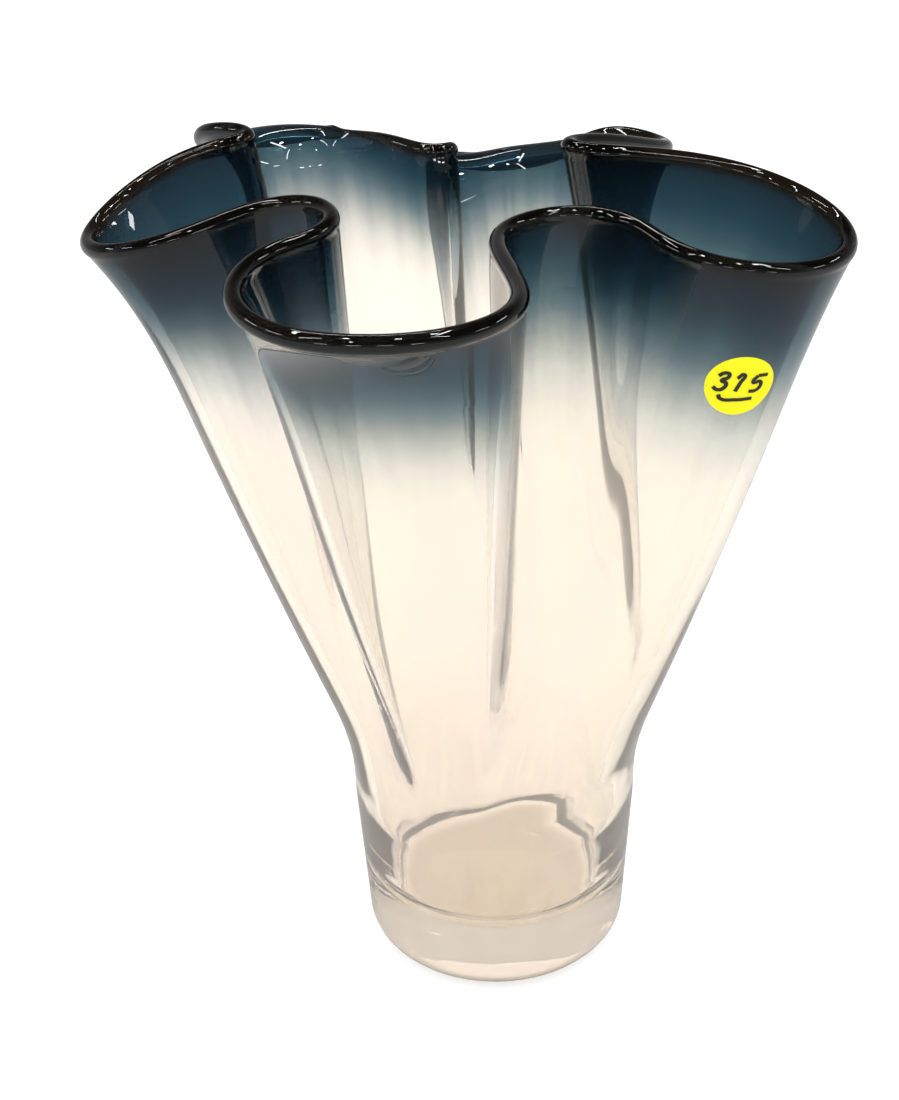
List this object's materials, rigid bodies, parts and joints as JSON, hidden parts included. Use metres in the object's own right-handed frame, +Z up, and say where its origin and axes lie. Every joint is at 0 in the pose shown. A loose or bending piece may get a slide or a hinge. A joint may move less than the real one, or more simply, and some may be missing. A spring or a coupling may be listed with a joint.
{
  "type": "art glass vase",
  "caption": "Blown clear glass vase with a thick solid foot and a flared wall folded into a deep ruffled rim, blue towards a dark beaded lip, with a round paper label",
  "frame": {"origin": "centre of the flat ground underside that the vase stands on", "axes": "+Z up, -Y towards the deep front lobe that faces the viewer, +X to the viewer's right"},
  "size_m": [0.2267, 0.2193, 0.2844],
  "materials": {
    "clear_glass": "polished clear glass, blue-grey towards the rim and nearly black at the bead",
    "label_paper": "matte yellow coated paper"
  },
  "bodies": {
    "root": {"vase": "clear_glass", "label": "label_paper"}
  },
  "joints": []
}
